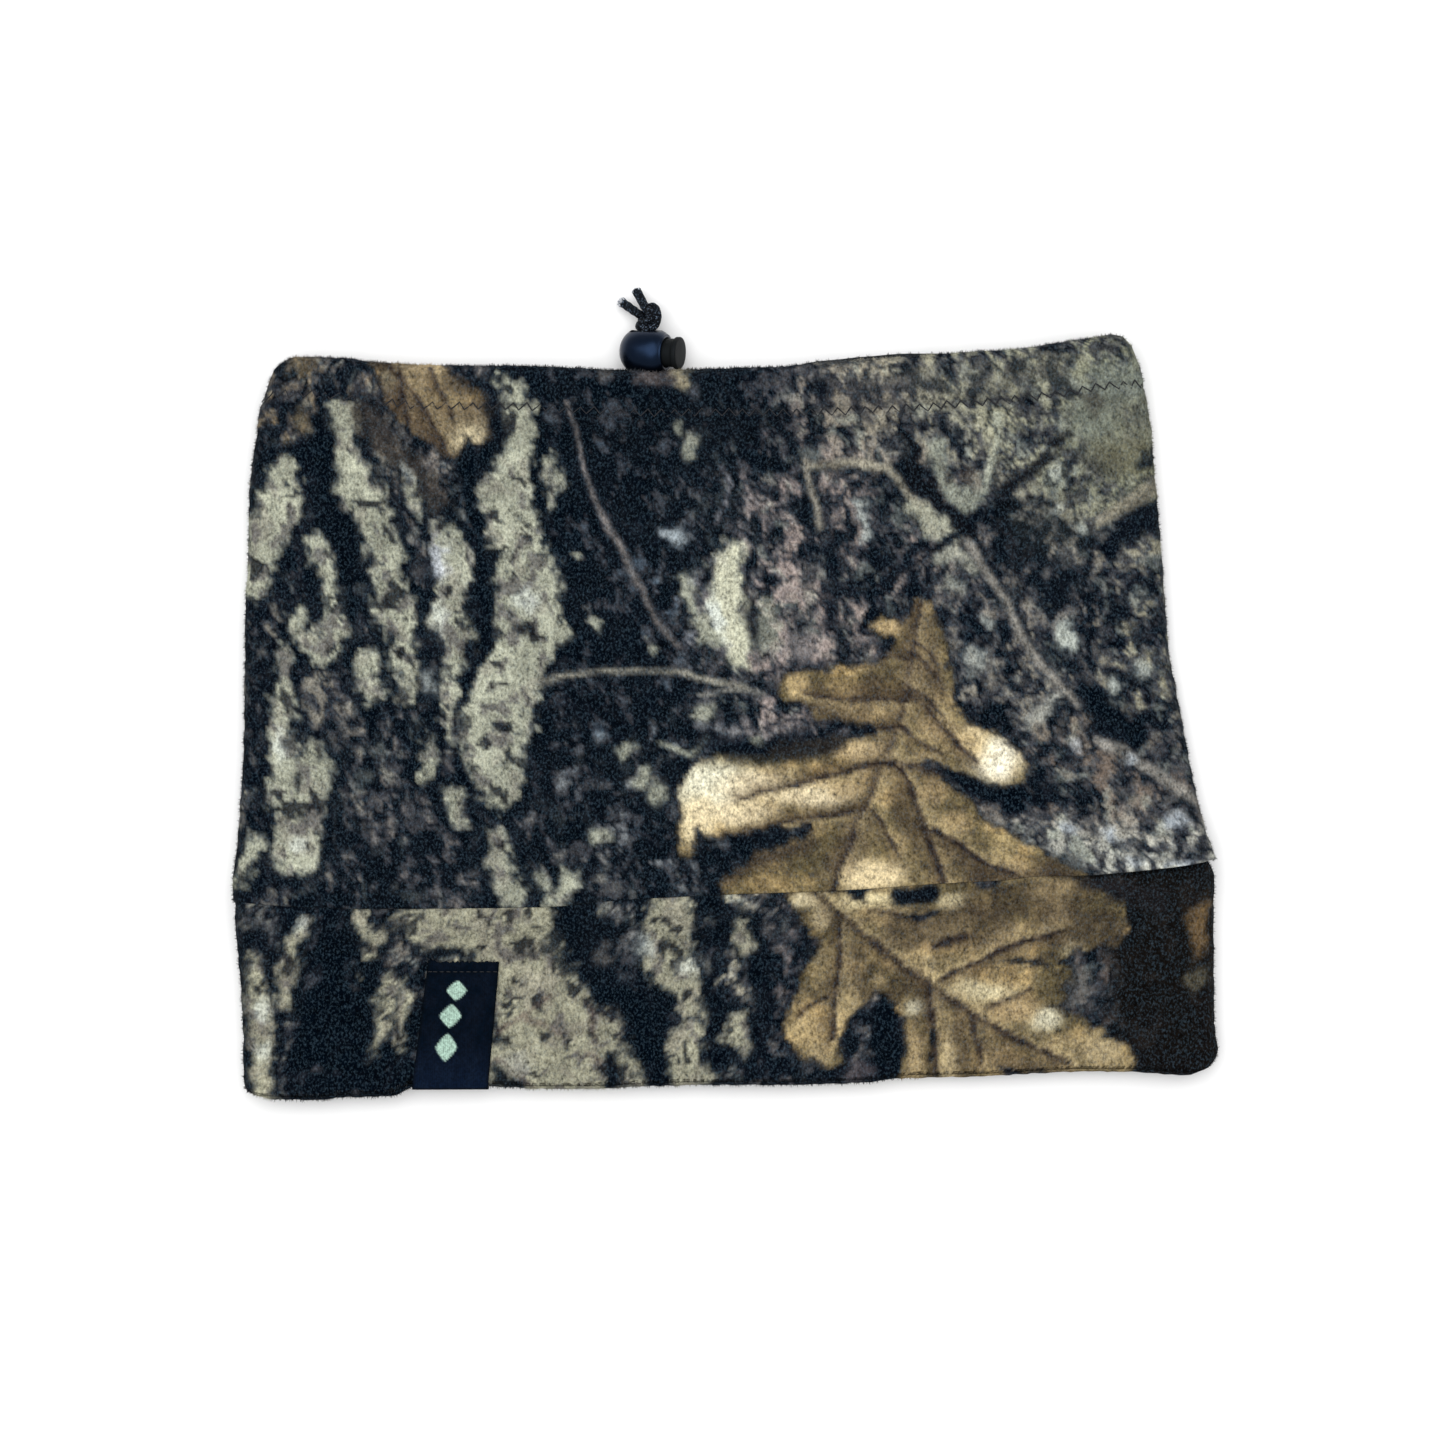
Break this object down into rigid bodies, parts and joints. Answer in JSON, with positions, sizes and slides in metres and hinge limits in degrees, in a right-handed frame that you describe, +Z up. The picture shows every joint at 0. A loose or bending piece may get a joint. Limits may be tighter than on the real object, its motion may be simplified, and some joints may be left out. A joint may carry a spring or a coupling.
{
  "type": "fleece neck gaiter face mask",
  "caption": "Flat-lying camouflage fleece neck gaiter face mask with drawcord casing, spring cord lock, doubled hem band and folded woven label.",
  "frame": {"origin": "middle of the flattened garment's box in X and Y, on the surface it lies on", "axes": "+X across the width, +Y from the hem towards the drawcord edge, +Z up from the surface through both layers"},
  "size_m": [0.269, 0.223, 0.02],
  "materials": {
    "camo_fleece": "brushed fleece with a woodland camouflage print",
    "thread": "spun polyester thread",
    "label": "damask woven ribbon",
    "cord": "braided elastic cord",
    "lock_plastic": "satin moulded",
    "spring_steel": "drawn wire"
  },
  "bodies": {
    "garment": {"body_tube": "camo_fleece", "hem_band": "camo_fleece", "casing_stitch": "thread", "band_join_stitch": "thread", "back_seam_stitch": "thread", "band_seam_stitch": "thread", "woven_label": "label", "label_stitch": "thread", "drawcord_loop": "cord"},
    "lock": {"lock_body": "lock_plastic", "lock_spring": "spring_steel"},
    "plunger": {"lock_plunger": "lock_plastic"},
    "cord_ends": {"strand_lower": "cord", "strand_upper": "cord", "cord_knot": "cord", "cord_tail_left": "cord", "cord_tail_right": "cord"}
  },
  "joints": [
    {"name": "lock_pull", "type": "slide", "parent": "garment", "child": "lock", "axis": [0.0872, 0.9962, 0], "range_m": [0, 0.02], "stiffness_N_per_m": 60, "springref_m": -0.002},
    {"name": "plunger_press", "type": "slide", "parent": "lock", "child": "plunger", "axis": [-0.9361, 0.0819, -0.342], "range_m": [0, 0.0025], "stiffness_N_per_m": 1200, "springref_m": -0.003, "deforming": ["lock_spring"]},
    {"name": "cord_draw", "type": "slide", "parent": "lock", "child": "cord_ends", "axis": [0.0872, 0.9962, 0], "range_m": [0, 0.06]}
  ]
}
